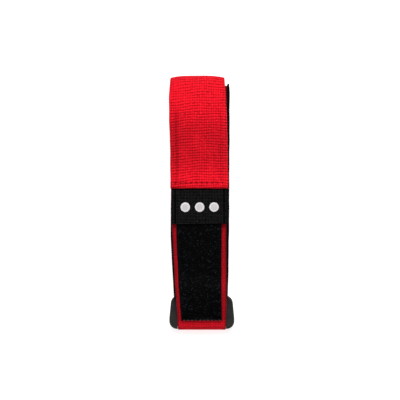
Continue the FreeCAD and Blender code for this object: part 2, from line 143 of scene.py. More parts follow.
# ---------------------------------------------------------------- strips of cloth
class Strip:
    """A strip of cloth that follows a line in the Y-Z plane, between a left and a right edge."""

    def __init__(self, line, left, right, thick, lift=None, drop=None):
        self.line, self.left, self.right, self.thick = line, left, right, thick
        self.far = np.r_[0, np.cumsum(np.hypot(*np.diff(line, axis=0).T))]
        run = np.gradient(line, axis=0)
        run /= np.hypot(*run.T)[:, None]
        self.normal = np.column_stack([-run[:, 1], run[:, 0]])
        self.lift = lift or (lambda x, y, far: 0 * x)
        self.drop = drop or (lambda x, y: 0 * x)

    @property
    def length(self):
        return self.far[-1]

    def where(self, y, nth=0):
        """How far along the strip it passes y, for the nth time."""
        side = np.sign(self.line[:, 0] - y)
        hits = np.nonzero(side[1:] != side[:-1])[0]
        return self.far[hits[nth]]

    def place(self, x, far, height):
        """The point at x, that far along, that high above the strip's middle."""
        y, z, ny, nz = (np.interp(far, self.far, c) for c in (*self.line.T, *self.normal.T))
        rise = height + self.lift(x, y, far)
        y, z = y + ny * rise, z + nz * rise
        return np.stack(np.broadcast_arrays(x, y + self.drop(x, y), z), axis=-1)


def plain_relief(x, far):
    return 0 * x


def strip_object(name, strip, step, across, relief=plain_relief, back_relief=plain_relief, back_across=None,
                 edge=0.3, rounded=(True, True)):
    """A closed mesh for a strip, with relief on its two sides, rounded edges and, where asked, rounded ends.

    Its "cloth" attribute holds the place on the flat strip: x, the way along, and the side, 1 or -1.
    """
    turn = strip.thick * 0.45
    close = turn * (1 - np.cos(np.linspace(0, math.pi / 2, 5)[:-1]))
    inner = np.linspace(turn, strip.length - turn, int(round((strip.length - 2 * turn) / step)) + 1)
    far = np.r_[close, inner, strip.length - close[::-1]]
    full = np.ones(far.shape)
    for distance, wanted in ((far, rounded[0]), (strip.length - far, rounded[1])):
        if wanted:
            full = full * np.sqrt(1 - (1 - np.clip(distance / turn, 0.03, 1)) ** 2)
    y = np.interp(far, strip.far, strip.line[:, 0])
    left, right = strip.left(y, far), strip.right(y, far)
    back_across = back_across or across
    rim = strip.thick / 2 * 0.55

    def sheet(count, side, shape):
        part = np.linspace(0, 1, count)[None, :]
        x = left[:, None] + edge + (right - left - 2 * edge)[:, None] * part
        away = np.broadcast_to(far[:, None], x.shape)
        height = (strip.thick / 2 + shape(x, away)) * full[:, None]
        return strip.place(x, away, side * height), np.stack([x, away, np.full(x.shape, float(side))], -1)

    def border(x, side, height):
        away = far[:, None]
        spot = strip.place(x[:, None], away, height * full[:, None])
        return spot, np.stack([x[:, None], away, np.full(away.shape, float(side))], -1)

    up, up_cloth = sheet(across, 1, relief)
    low, low_cloth = sheet(back_across, -1, back_relief)
    bands = [(up, up_cloth), border(right - edge * 0.3, 1, rim), border(right, 1, 0.0),
             border(right - edge * 0.3, -1, -rim), (low[:, ::-1], low_cloth[:, ::-1]),
             border(left + edge * 0.3, -1, -rim), border(left, -1, 0.0), border(left + edge * 0.3, 1, rim)]
    ring = np.concatenate([band[0] for band in bands], axis=1)
    cloth = np.concatenate([band[1] for band in bands], axis=1)
    rows, columns = ring.shape[:2]
    index = np.arange(rows * columns).reshape(rows, columns)
    after = np.roll(index, -1, axis=1)
    quads = np.stack([index[:-1], index[1:], after[1:], after[:-1]], axis=-1).reshape(-1, 4)
    faces = quads.tolist() + [index[0].tolist(), index[-1, ::-1].tolist()]
    return cloth_object(name, ring.reshape(-1, 3), faces, cloth.reshape(-1, 3))


def face_outward(mesh):
    """Turn a closed mesh's faces outward, where its strip's direction has turned them inward."""
    shape = bmesh.new()
    shape.from_mesh(mesh)
    if shape.calc_volume(signed=True) < 0:
        bmesh.ops.reverse_faces(shape, faces=shape.faces)
        shape.to_mesh(mesh)
    shape.free()


def cloth_object(name, points, faces, cloth=None):
    mesh = bpy.data.meshes.new(name)
    mesh.from_pydata((np.asarray(points) * MM).tolist(), [], faces)
    face_outward(mesh)
    mesh.update()
    mesh.shade_smooth()
    if cloth is not None:
        mesh.attributes.new("cloth", "FLOAT_VECTOR", "POINT").data.foreach_set(
            "vector", np.asarray(cloth, np.float32).ravel())
    thing = bpy.data.objects.new(name, mesh)
    bpy.context.scene.collection.objects.link(thing)
    return thing


def add_values(thing, name, values):
    """A number at each vertex for the material: "tone" is how light, holding painted shade and painted
    highlights along with the cloth's own uneven colour, "ribbing" how strongly the ribs show, in relief and
    in the painted shade of their furrows.
    """
    thing.data.attributes.new(name, "FLOAT", "POINT").data.foreach_set(
        "value", np.asarray(values, np.float32).ravel())


# ---------------------------------------------------------------- materials
class Nodes:
    """Short ways to add and link shader nodes."""

    def __init__(self, name):
        self.material = bpy.data.materials.new(name)
        self.material.use_nodes = True
        self.tree = self.material.node_tree
        self.shader = self.tree.nodes["Principled BSDF"]

    def put(self, socket, value):
        if isinstance(value, bpy.types.NodeSocket):
            self.tree.links.new(value, socket)
        elif value is not None:
            socket.default_value = value

    def math(self, kind, a, b=None, c=None, clamp=False):
        node = self.tree.nodes.new("ShaderNodeMath")
        node.operation, node.use_clamp = kind, clamp
        for socket, value in zip(node.inputs, (a, b, c)):
            self.put(socket, value)
        return node.outputs[0]

    def attribute(self, name, output="Vector"):
        node = self.tree.nodes.new("ShaderNodeAttribute")
        node.attribute_name = name
        return node.outputs[output]

    def split(self, vector):
        node = self.tree.nodes.new("ShaderNodeSeparateXYZ")
        self.put(node.inputs[0], vector)
        return node.outputs

    def object_place(self):
        """Object coordinates in millimetres."""
        place = self.tree.nodes.new("ShaderNodeTexCoord")
        scale = self.tree.nodes.new("ShaderNodeVectorMath")
        scale.operation = "SCALE"
        self.put(scale.inputs[0], place.outputs["Object"])
        scale.inputs["Scale"].default_value = 1 / MM
        return scale.outputs[0]

    def stretched(self, vector, scales):
        """The vector with each part scaled by its own number."""
        node = self.tree.nodes.new("ShaderNodeVectorMath")
        node.operation = "MULTIPLY"
        self.put(node.inputs[0], vector)
        node.inputs[1].default_value = scales
        return node.outputs[0]

    def noise(self, vector, scale, detail=3.0, rough=0.55):
        node = self.tree.nodes.new("ShaderNodeTexNoise")
        self.put(node.inputs["Vector"], vector)
        node.inputs["Scale"].default_value = scale
        node.inputs["Detail"].default_value = detail
        node.inputs["Roughness"].default_value = rough
        return node.outputs["Fac"]

    def ramp(self, value, stops):
        node = self.tree.nodes.new("ShaderNodeValToRGB")
        self.put(node.inputs[0], value)
        while len(node.color_ramp.elements) < len(stops):
            node.color_ramp.elements.new(0.5)
        for element, (spot, colour) in zip(node.color_ramp.elements, stops):
            element.position = spot
            element.color = (*colour, 1)
        return node.outputs[0]

    def times(self, colour, factor):
        """A colour darkened by a number."""
        node = self.tree.nodes.new("ShaderNodeVectorMath")
        node.operation = "SCALE"
        self.put(node.inputs[0], colour)
        self.put(node.inputs["Scale"], factor)
        return node.outputs[0]

    def bump(self, height, strength, distance):
        node = self.tree.nodes.new("ShaderNodeBump")
        self.put(node.inputs["Height"], height)
        node.inputs["Strength"].default_value = strength
        node.inputs["Distance"].default_value = distance * MM
        self.put(self.shader.inputs["Normal"], node.outputs[0])

    def finish(self, colour, rough, specular):
        self.put(self.shader.inputs["Base Color"], colour)
        self.put(self.shader.inputs["Roughness"], rough)
        self.shader.inputs["Specular IOR Level"].default_value = specular
        return self.material


RIB = 1.2        # the webbing's picks, along the strap
COLUMN = 1.03    # its elastic cords, across the strap
TWILL = 1.3      # the tab's small diamonds, both ways
BOW, BOW_MIDDLE, BOW_HALF = 0.7, 3.0, 12.5   # how far a rib bows, round which x, over which half width
WAVERS = [(0.12, 0.5, 0.2, 0.0), (0.10, -0.35, 0.8, 1.0)]   # size, turn over x, turn along, shift


def webbing_material():
    """Red elastic webbing: ribs across the strap over lengthwise cords, covered in fine yarn."""
    n = Nodes("red_elastic_webbing")
    cloth = n.attribute("cloth")
    x, along, _ = n.split(cloth)
    across = n.math("DIVIDE", n.math("SUBTRACT", x, BOW_MIDDLE), BOW_HALF)
    sway = n.math("MULTIPLY_ADD", n.math("MULTIPLY", across, across), -BOW, n.math("ADD", along, 0.15))
    for size, over_x, over_far, shift in WAVERS:
        turn = n.math("MULTIPLY_ADD", x, over_x, n.math("MULTIPLY_ADD", along, over_far, shift))
        sway = n.math("MULTIPLY_ADD", n.math("SINE", turn), size, sway)
    rib_wave = n.math("ABSOLUTE", n.math("SINE", n.math("MULTIPLY", sway, math.pi / RIB)))
    patchy = n.math("MULTIPLY_ADD", n.noise(cloth, 0.35, 2.0, 0.6), 1.6, 0.2)
    depth = n.math("MULTIPLY", patchy, n.attribute("ribbing", "Fac"), clamp=True)
    rib = n.math("SUBTRACT", 1.0, n.math("MULTIPLY", n.math("SUBTRACT", 1.0, rib_wave), depth))
    column = n.math("ABSOLUTE", n.math("SINE", n.math("MULTIPLY", x, math.pi / COLUMN)))
    yarn = n.noise(n.stretched(cloth, (6.5, 1.5, 1.0)), 1.0, 3.0, 0.7)
    yarn = n.math("MULTIPLY_ADD", yarn, 1.8, -0.4)
    crest = n.math("MULTIPLY", n.math("POWER", rib, 0.6), n.math("MULTIPLY_ADD", column, 0.4, 0.6))
    height = n.math("MULTIPLY_ADD", yarn, 0.3, n.math("MULTIPLY", crest, 0.8))
    # Painted shade in the pinholes where the ribs and cords part.
    pinhole = n.math("MULTIPLY", n.math("SUBTRACT", 1.0, rib), n.math("SUBTRACT", 1.0, column))
    pinhole_shade = n.math("SUBTRACT", 1.0, n.math("MULTIPLY", pinhole, 0.9))
    grain = n.noise(n.stretched(cloth, (1.0, 1.9, 1.0)), 1.0, 3.0, 0.8)
    fleck = n.math("MULTIPLY_ADD", grain, 2.6, -0.28)
    # light multiplies the painted shade held in tone and at the pinholes with random flecks in the yarn.
    light = n.math("MULTIPLY", n.math("MULTIPLY", n.attribute("tone", "Fac"), fleck), pinhole_shade)
    # The colour follows the weave's height: painted shade in its furrows and a painted highlight on its
    # crests.
    colour = n.ramp(height, [(0.15, (0.30, 0.001, 0.003)), (0.55, (0.80, 0.004, 0.014)),
                             (0.95, (1.0, 0.012, 0.030))])
    n.bump(height, 0.7, 0.18)
    return n.finish(n.times(colour, light), 0.8, 0.06)


def loop_material():
    """The pile's thread loops: nearly all deep black, and a few painted lighter, as painted highlights on
    loops that catch the light.
    """
    n = Nodes("black_pile_loops")
    fine = n.noise(n.object_place(), 5.0, 3.0, 0.6)
    colour = n.ramp(n.attribute("tone", "Fac"), [(0.0, (0.0006, 0.0007, 0.0009)),
                                                 (0.35, (0.004, 0.0045, 0.0058)),
                                                 (1.0, (0.095, 0.105, 0.130))])
    n.bump(fine, 0.3, 0.04)
    return n.finish(colour, n.math("MULTIPLY_ADD", fine, 0.3, 0.35), 0.05)


def pile_material():
    """The mat under the loops: black nylon."""
    n = Nodes("black_loop_pile")
    place = n.object_place()
    fleck = n.noise(place, 1.1, 5.0, 0.75)
    fine = n.noise(place, 6.0, 3.0, 0.6)
    colour = n.ramp(fleck, [(0.35, (0.0005, 0.0005, 0.0006)), (0.62, (0.0014, 0.0015, 0.0019)),
                            (0.78, (0.005, 0.0052, 0.0065))])
    n.bump(n.math("ADD", fine, fleck), 0.6, 0.12)
    return n.finish(colour, n.math("MULTIPLY_ADD", fine, 0.3, 0.45), 0.03)


def tape_material(name, dark, light, pitch):
    """Black woven tape: small diamonds of raised thread, with painted highlights on the tops of a scattered
    few.
    """
    n = Nodes(name)
    cloth = n.attribute("cloth")
    x, along, _ = n.split(cloth)
    turn = 2 * math.pi / pitch
    twill = n.math("SINE", n.math("MULTIPLY", n.math("ADD", along, x), turn))
    pick = n.math("SINE", n.math("MULTIPLY", n.math("SUBTRACT", along, x), turn))
    height = n.math("MULTIPLY_ADD", n.math("MULTIPLY", twill, pick), 0.5, 0.5)
    fleck = n.math("MULTIPLY_ADD", n.noise(cloth, 0.9, 3.0, 0.8), 3.0, -0.8, clamp=True)
    fleck = n.math("MULTIPLY", fleck, n.attribute("tone", "Fac"))
    # Painted highlight on the raised threads' tops, where the flecks and the tone let it show.
    painted_shine = n.math("MULTIPLY", n.math("POWER", height, 3.0), fleck)
    colour = n.ramp(painted_shine, [(0.05, (dark, dark, dark * 1.05)), (0.75, (light, light, light * 1.06))])
    n.bump(height, 0.5, 0.1)
    return n.finish(colour, 0.7, 0.03)


def mark_material():
    """White woven yarn."""
    n = Nodes("white_woven_yarn")
    place = n.object_place()
    x, y, _ = n.split(place)
    stitch = n.math("MULTIPLY", n.math("SINE", n.math("MULTIPLY", x, 2 * math.pi / 0.35)),
                    n.math("SINE", n.math("MULTIPLY", y, 2 * math.pi / 0.5)))
    height = n.math("MULTIPLY_ADD", stitch, 0.5, 0.5)
    fleck = n.noise(place, 2.4, 4.0, 0.7)
    colour = n.ramp(n.math("MULTIPLY_ADD", height, 0.45, n.math("MULTIPLY", fleck, 0.7)),
                    [(0.15, (0.42, 0.39, 0.40)), (0.75, (0.88, 0.85, 0.87))])
    n.bump(height, 0.5, 0.08)
    return n.finish(n.times(colour, n.attribute("tone", "Fac")), 0.75, 0.2)


def plastic_material():
    """Black moulded plastic with a fine satin texture."""
    n = Nodes("black_moulded_plastic")
    place = n.object_place()
    grain = n.noise(place, 5.0, 3.0, 0.6)
    cloud = n.noise(place, 0.35, 2.0, 0.5)
    colour = n.ramp(cloud, [(0.3, (0.009, 0.0088, 0.0082)), (0.75, (0.019, 0.0178, 0.0165))])
    n.bump(grain, 0.25, 0.05)
    return n.finish(colour, n.math("MULTIPLY_ADD", grain, 0.25, 0.33), 0.26)


def thread_material(name, colour, light):
    """Twisted thread."""
    n = Nodes(name)
    place = n.object_place()
    x, y, _ = n.split(place)
    ply = n.math("SINE", n.math("MULTIPLY", n.math("ADD", x, n.math("MULTIPLY", y, 0.8)), 2 * math.pi / 0.22))
    shade = n.ramp(n.math("MULTIPLY_ADD", ply, 0.4, 0.5), [(0.1, colour), (0.9, light)])
    n.bump(ply, 0.4, 0.04)
    return n.finish(shade, 0.7, 0.06)


MATERIALS = {
    "webbing": webbing_material(),
    "pile": pile_material(),
    "loops": loop_material(),
    "liner": tape_material("black_liner_tape", 0.001, 0.010, 0.9),
    "hook_tape": tape_material("black_hook_tape", 0.002, 0.010, 0.8),
    "tab": tape_material("black_tab_twill", 0.0002, 0.030, TWILL),
    "mark": mark_material(),
    "plastic": plastic_material(),
    "red_thread": thread_material("red_thread", (0.28, 0.002, 0.006), (0.66, 0.008, 0.02)),
    "black_thread": thread_material("black_thread", (0.002, 0.002, 0.0025), (0.008, 0.008, 0.010)),
    "grey_thread": thread_material("grey_thread", (0.04, 0.027, 0.025), (0.15, 0.11, 0.105)),
}


def dress(thing, material, slot, body, *replaced):
    thing.data.materials.append(MATERIALS[material])
    if body:
        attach(thing, body)
    if replaced:
        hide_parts(*replaced)
    return thing


# ---------------------------------------------------------------- the strap's edges
def edge_line(*spots):
    """x as a smooth line through (y, x) spots, given from -Y to +Y."""
    ys, xs = zip(*spots)
    fine = np.linspace(ys[0], ys[-1], 400)
    values = np.interp(fine, ys, xs)
    kernel = np.ones(21) / 21
    padded_values = np.r_[np.full(10, values[0]), values, np.full(10, values[-1])]
    values = np.convolve(padded_values, kernel, "valid")
    return lambda y: np.interp(y, fine, values)


def selvage(edge, side, depth=0.07, waver=0.1, seed=1.0, beyond=None, start=1e9):
    """An edge with its picks' small loops, slightly uneven. Past start it follows beyond instead."""
    beyond = beyond or edge
    return lambda y, far: np.where(far > start, beyond(y), edge(y)) + side * (
        depth * np.abs(np.sin(np.pi * far / RIB)) + waver * ripple(0 * far, far, seed, 14.0))


# Where the strap's edges run, as (y, x) spots from the ring's end to the folds.
FRONT_LEFT = edge_line((-57, -10.57), (-51, -10.6), (-46, -10.95), (-38, -11.6), (-25, -12.3), (-14, -12.85),
                       (10, -13.3), (57, -13.4))
FRONT_RIGHT = edge_line((-57, 10.57), (-51, 10.6), (-46, 10.85), (-40, 10.75), (-14, 10.7),
                        (10, 11.0), (57, 11.15))
BACK_LEFT = edge_line((-46, -10.6), (-14, -13.2), (30, -13.3), (48, -13.75), (57, -13.85))
BACK_RIGHT = edge_line((-46, 10.6), (-14, 10.9), (30, 11.0), (44, 10.6), (50, 10.15), (57, 9.8))
TAIL_LEFT = edge_line((0, -13.65), (7, -13.75), (23, -13.9), (36, -14.3), (46, -14.45),
                      (52, -14.15), (57, -13.85))
TAIL_RIGHT = edge_line((0, 11.65), (7, 11.6), (23, 11.4), (36, 11.0), (46, 10.5), (54, 10.05), (57, 9.8))
LINER_LEFT = edge_line((-42, -12.1), (-40, -12.4), (-25, -13.25), (-14, -13.7), (57, -13.5))
LINER_RIGHT = edge_line((-42, 11.3), (-40, 11.5), (-14, 12.0), (40, 12.25), (49, 12.3),
                        (51, 11.9), (53, 11.4))
PILE_LEFT = edge_line((-52, -8.95), (-45, -9.5), (-38, -10.05), (-25, -10.7), (-14, -11.15), (57, -11.2))
PILE_RIGHT = edge_line((-52, 8.8), (-38, 8.65), (-14, 8.65), (57, 8.7))


def arch(x, y):
    """The outer fold bulges: its corners lie lower than its middle."""
    part = np.abs((x + 1.6) / 12.6)
    return -1.05 * part ** 3.2 * smooth_step(y, 47, 55)


# ---------------------------------------------------------------- the webbing
def main_line(step=0.33):
    """The webbing's middle, from the end sewn under the front run to the outer fold's crest."""
    slope = math.atan2(HUMP - (EYE_Z + EYE_R), DROP - EYE_Y)
    turn = 45
    flap = np.array([[-46.9, HUMP - WEB - 0.25], [-48.6, HUMP - WEB - 0.9]])
    eye = arc(EYE_Y, EYE_Z, EYE_R, turn, -270 + math.degrees(slope) * 0.3)
    front = np.array([[DROP, HUMP], [HUMP_HIGH, HUMP], [HUMP_LOW, FRONT], [INNER_FOLD_Y, FRONT]])
    fold = arc(INNER_FOLD_Y, INNER_FOLD_Z, INNER_FOLD_R, 90, -90)
    inner = np.array([[RAMP_LOW, INNER], [RAMP_HIGH, WRAP_Z + WRAP_R]])
    wrap = arc(WRAP_Y, WRAP_Z, WRAP_R, 90, 270)
    outer = arc(FOLD_Y, FOLD_Z, FOLD_R, -90, 0)
    return softened(np.vstack([flap, eye, front, fold, inner, wrap, outer]), step, EASED)


def tail_line(step=0.22):
    """The rest of the webbing: over the outer fold and down the front to the tip."""
    outer = arc(FOLD_Y, FOLD_Z, FOLD_R, 0, 90)
    down = np.array([[44.0, TAIL_LEVEL + 0.05], [30.0, TAIL_LEVEL], [10.0, TAIL_LEVEL], [TIP_Y, TAIL_LEVEL]])
    return softened(np.vstack([outer, down]), step, EASED)


def rib_relief(depth):
    """The webbing's ribs and warp columns, as height."""
    def relief(x, far):
        sway = far - BOW * ((x - BOW_MIDDLE) / BOW_HALF) ** 2 + 0.15
        for size, over_x, over_far, shift in WAVERS:
            sway = sway + size * np.sin(x * over_x + far * over_far + shift)
        rib = np.abs(np.sin(np.pi * sway / RIB)) ** 0.6
        column = np.abs(np.sin(np.pi * x / COLUMN))
        return depth * (rib * (0.75 + 0.25 * column) - 0.6)
    return relief


# A strip's +1 side takes relief and its -1 side back_relief. The +1 side is on the left of its line, seen
# with +Y to the right and +Z up. The front run goes towards +Y, so its upper side is +1. The back run goes
# the same way, and its outward side, which is the lower one, is -1. The tail, the tab, the hook tape and the
# liner go towards -Y, so their upper sides are -1.
# The front run's tone is painted shade: darker beside the pile, a little lighter at the band by the ring.
FRONT_SHADE_TONE, BAND_SHADE_LIFT = 0.41, 0.24     # how light the front run is, and how much more the band at the ring
TAIL_SHADE, OUTSIDE_TONE = 0.75, 0.9    # what the tail's shade takes off it, and how light the back run is


def make_main_webbing():
    line = main_line()
    lowest = np.argmin(line[:, 0] + 100 * (np.arange(len(line)) < len(line) / 2))
    turned = lowest * line_length(line) / (len(line) - 1)
    left = selvage(FRONT_LEFT, -1, waver=0.06, seed=1.3, beyond=BACK_LEFT, start=turned)
    right = selvage(FRONT_RIGHT, 1, waver=0.06, seed=2.6, beyond=BACK_RIGHT, start=turned)
    strip = Strip(line, left, right, WEB, drop=arch)
    thing = strip_object("strap_fabric", strip, 0.33, 28, relief=rib_relief(0.04),
                         back_relief=rib_relief(0.12), back_across=64, rounded=(True, False))
    co = cloth_values(thing)
    spot = vertex_places(thing)
    # Painted shade: the front run darkened, lifted at the band by the ring, and darker again where the band
    # turns round the eye.
    tone = FRONT_SHADE_TONE + 0.04 * ripple(co[:, 0], co[:, 1], 4.0, 9.0)
    band = smooth_step(-spot[:, 1], 51.2, 53.0) * (1 - 0.35 * smooth_step(-spot[:, 1], 54.0, 55.4))
    tone = tone + BAND_SHADE_LIFT * band
    # Painted shadow where the tail lies over the front run.
    tone = tone * (1 - TAIL_SHADE * smooth_step(spot[:, 1], 14, 26))
    # Painted shade along the front run's rounded edges.
    inset = np.minimum(spot[:, 0] - FRONT_LEFT(spot[:, 1]), FRONT_RIGHT(spot[:, 1]) - spot[:, 0])
    tone = tone * (1 - 0.5 * np.exp(-(np.clip(inset, 0, None) / 0.5) ** 2))
    outside = co[:, 1] > turned
    add_values(thing, "tone", np.where(outside, OUTSIDE_TONE, tone))
    add_values(thing, "ribbing", np.where(outside, 1.0, 0.4))
    dress(thing, "webbing", "red_webbing", "strap", "strap_webbing")


def cloth_values(thing):
    values = np.empty(len(thing.data.vertices) * 3, np.float32)
    thing.data.attributes["cloth"].data.foreach_get("vector", values)
    return values.reshape(-1, 3)


def vertex_places(thing):
    values = np.empty(len(thing.data.vertices) * 3, np.float32)
    thing.data.vertices.foreach_get("co", values)
    return values.reshape(-1, 3) / MM


def tail_middle(y):
    return (TAIL_LEFT(y) + TAIL_RIGHT(y)) / 2


HOOK_HALF = (HOOK_HIGH[0] - HOOK_LOW[0]) / 2 - 0.6
HEM_Y = HOOK_LOW[1]
HEM_PITCH = 2.3
HEM_START, HEM_END = -11.6, 9.4


def tail_shading(y):
    """Painted shade on the tail: light cloth, with painted shade in the hollow over the hooks and where it
    turns down at the fold and the tip.
    """
    hollow = smooth_step(y, HEM_Y + 2, HEM_Y + 12) * (1 - smooth_step(y, 30, 42))
    fold = smooth_step(y, FOLD_Y - 1, WEB_HIGH[1])
    tip = 1 - smooth_step(y, TIP_Y, TIP_Y + 2)
    return 0.94 - 0.25 * hollow - 0.22 * fold - 0.4 * tip


def tail_lift(x, y, far):
    """The tail's slow waves: full over the fold, hollow over the hooks, furrowed along the patch's seam."""
    middle = tail_middle(y)
    over_patch = smooth_step(y, HEM_Y - 1, HEM_Y + 4)
    over_patch = over_patch * (1 - smooth_step(y, HOOK_HIGH[1] - 4, HOOK_HIGH[1] + 2))
    seams = 0
    for side in (-1, 1):
        seams = seams - 0.26 * over_patch * np.exp(-((x - middle - side * HOOK_HALF) / 0.7) ** 2)
    hem = -0.24 * np.exp(-((y - HEM_Y) / 0.8) ** 2) * (np.abs(x - middle) < HOOK_HALF + 1)
    bulge = 0.55 * np.exp(-((y - 46) / 6.5) ** 2) * (1 - 0.5 * ((x - middle) / 12.5) ** 2)
    hollow = -0.10 * over_patch * (1 - ((x - middle) / 12.5) ** 2)
    free = 1 - smooth_step(y, 50, 55)
    wave = (0.14 * ripple(x, far, 5.0, 16.0) + 0.07 * ripple(x, far, 9.0, 7.0)) * smooth_step(y, 6, 14)
    return (seams + hem + bulge + hollow + wave) * free


def make_tail_webbing():
    strip = Strip(tail_line(), selvage(TAIL_LEFT, -1, seed=3.1), selvage(TAIL_RIGHT, 1, seed=4.4), WEB,
                  lift=lambda x, y, far: -tail_lift(x, y, far), drop=arch)
    thing = strip_object("tail_fabric", strip, 0.22, 30, relief=rib_relief(0.05),
                         back_relief=rib_relief(0.17), back_across=110, rounded=(False, True))
    co, spot = cloth_values(thing), vertex_places(thing)
    y = spot[:, 1]
    tone = tail_shading(y) + 0.05 * ripple(co[:, 0], co[:, 1], 6.0, 12.0)
    # Painted shade along the tail's left side, below the fold.
    tone = tone - 0.10 * smooth_step(-spot[:, 0], 7.5, 12.5) * (1 - smooth_step(y, 36, 46))
    # Painted shade in the hem's stitch holes.
    hole = (spot[:, 0] - HEM_START) / HEM_PITCH
    hole = np.abs(hole - np.round(hole)) * HEM_PITCH
    tone = tone - 0.8 * np.exp(-(hole / 0.5) ** 2 - ((y - HEM_Y) / 0.45) ** 2) * (spot[:, 0] < HEM_END)
    # Painted shade in the furrows along the hook patch's two seams, deeper on the left.
    for side, depth, width in ((-1, 0.24, 0.45), (1, 0.08, 0.6)):
        line = tail_middle(y) + side * HOOK_HALF
        tone = tone - depth * np.exp(-((spot[:, 0] - line) / width) ** 2) * (y < HOOK_HIGH[1]) * (y > HEM_Y)
    add_values(thing, "tone", tone)
    add_values(thing, "ribbing", np.where(y > 44, 0.75, 0.9))
    dress(thing, "webbing", "red_webbing", None, "tail_webbing")
    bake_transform(thing)
    return strip


# ---------------------------------------------------------------- the loop patch
def pile_line(step=0.4):
    """The loop tape's middle: on the front run, round the inner fold and under the inner run."""
    up = HALF + PILE / 2
    slope = (HUMP - (EYE_Z + EYE_R)) / (DROP - EYE_Y)
    end = [PILE_END, HUMP + up - slope * (DROP - PILE_END)]
    front = np.array([end, [DROP, HUMP + up], [HUMP_HIGH, HUMP + up], [HUMP_LOW, FRONT + up],
                      [INNER_FOLD_Y, FRONT + up]])
    fold = arc(INNER_FOLD_Y, INNER_FOLD_Z, INNER_FOLD_R + up, 90, -90)
    return softened(np.vstack([front, fold, np.array([[-35.0, INNER - up]])]), step, EASED)


def make_loop_patch():
    strip = Strip(pile_line(), selvage(PILE_LEFT, -1, 0.05, 0.08, 5.0),
                  selvage(PILE_RIGHT, 1, 0.05, 0.08, 6.0), 0.9)

    def mat(x, far):
        return 0.12 * ripple(x, far, 7.0, 2.6) + 0.05 * ripple(x, far, 8.0, 1.1)
    thing = strip_object("loop_tape", strip, 0.4, 52, relief=mat, back_across=12)
    dress(thing, "pile", "black_pile", "strap", "loop_patch")
    loops = make_loops(strip)
    return strip


def make_loops(strip):
    """The pile: thousands of small thread loops, leaning every way, a piece for each stretch of tape."""
    rng = np.random.default_rng(11)
    pieces = []
    limits = [("pile_loops_ring", 0.6, 22.0, 2400), ("pile_loops_front", 22.0, 52.0, 3000),
              ("pile_loops_under_tail", 52.0, 101.0, 2600),
              ("pile_loops_back", 101.0, strip.length - 1, 2600)]
    for name, low, high, count in limits:
        far = rng.uniform(low, high, count)
        y = np.interp(far, strip.far, strip.line[:, 0])
        part = rng.uniform(0.02, 0.98, count)
        x = PILE_LEFT(y) + 0.45 + (PILE_RIGHT(y) - PILE_LEFT(y) - 0.9) * part
        heading = rng.uniform(0, math.pi, count)
        width = rng.uniform(0.35, 0.75, count)
        height = rng.uniform(0.18, 0.42, count)
        lean = rng.uniform(-0.25, 0.25, count)
        pieces.append(loop_threads(name, strip, x, far, heading, width, height, lean))
    return pieces


def loop_threads(name, strip, x, far, heading, width, height, lean):
    """One mesh of thin arched threads that stand on the tape."""
    steps, sides, radius = 5, 3, 0.055
    turn = np.linspace(0, math.pi, steps)
    out = np.cos(turn)[None, :] * width[:, None] / 2
    up = np.sin(turn)[None, :] * height[:, None]
    px = x[:, None] + out * np.cos(heading)[:, None] + up * lean[:, None]
    pf = far[:, None] + out * np.sin(heading)[:, None]
    rings = []
    for k in range(sides):
        angle = 2 * math.pi * k / sides
        sx = px + radius * math.cos(angle) * -np.sin(heading)[:, None]
        sf = pf + radius * math.cos(angle) * np.cos(heading)[:, None]
        rings.append(strip.place(sx, sf, strip.thick / 2 - 0.02 + up + radius * math.sin(angle)))
    points = np.stack(rings, axis=2)                     # loop, step, side, xyz
    count = len(x)
    index = np.arange(count * steps * sides).reshape(count, steps, sides)
    after = np.roll(index, -1, axis=2)
    quads = np.stack([index[:, :-1], after[:, :-1], after[:, 1:], index[:, 1:]], axis=-1).reshape(-1, 4)
    faces = quads.tolist() + index[:, 0, ::-1].tolist() + index[:, -1].tolist()
    thing = cloth_object(name, points.reshape(-1, 3), faces)
    # A painted highlight on a few loops, chosen at random.
    painted_shine = np.random.default_rng(len(x)).uniform(0, 1, count) ** 7
    add_values(thing, "tone", np.repeat(painted_shine, steps * sides))
    return dress(thing, "loops", "black_pile", "strap")


# ---------------------------------------------------------------- the liner
def make_liner():
    level = INNER + HALF + LINER / 2
    climb = WRAP_Z + WRAP_R - INNER
    line = softened(np.array([[LINER_HIGH[1], level], [RAMP_LOW, level], [RAMP_HIGH, level + climb],
                              [RAMP_HIGH - 1.3, level + climb]]), 0.4, EASED)
    strip = Strip(line, selvage(LINER_LEFT, -1, 0.05, 0.12, 7.0),
                  selvage(LINER_RIGHT, 1, 0.05, 0.12, 8.0), LINER,
                  drop=lambda x, y: 1.9 * smooth_step(x, 10.8, 11.2) * smooth_step(y, 44, 50.7))

    def ridges(x, far):
        return 0.05 * np.sin(2 * np.pi * x / 2.1) - 0.05
    thing = strip_object("grip_tape", strip, 0.4, 60, relief=ridges, back_relief=ridges, back_across=20,
                         edge=0.25)
    add_values(thing, "tone", np.ones(len(thing.data.vertices)))
    dress(thing, "liner", "black_liner", "strap", "grip_liner")
    return strip


# ---------------------------------------------------------------- the hook patch
def make_hook_patch():
    level = (HOOK_LOW[2] + HOOK_HIGH[2]) / 2 + 0.15
    line = softened(np.array([[HOOK_HIGH[1], level], [HEM_Y, level]]), 0.4, 0.8)
    half = HOOK_HALF + 0.6

    def side(sign):
        return lambda y, far: tail_middle(y) + sign * (half - 0.15)
    strip = Strip(line, side(-1), side(1), 0.55)
    thing = strip_object("hook_tape", strip, 0.6, 34, relief=lambda x, f: 0.03 * np.sin(2 * np.pi * x / 1.1))
    add_values(thing, "tone", np.ones(len(thing.data.vertices)))
    dress(thing, "hook_tape", "black_hooks", "tail", "hook_patch")
    hooks = make_hooks(strip, half)


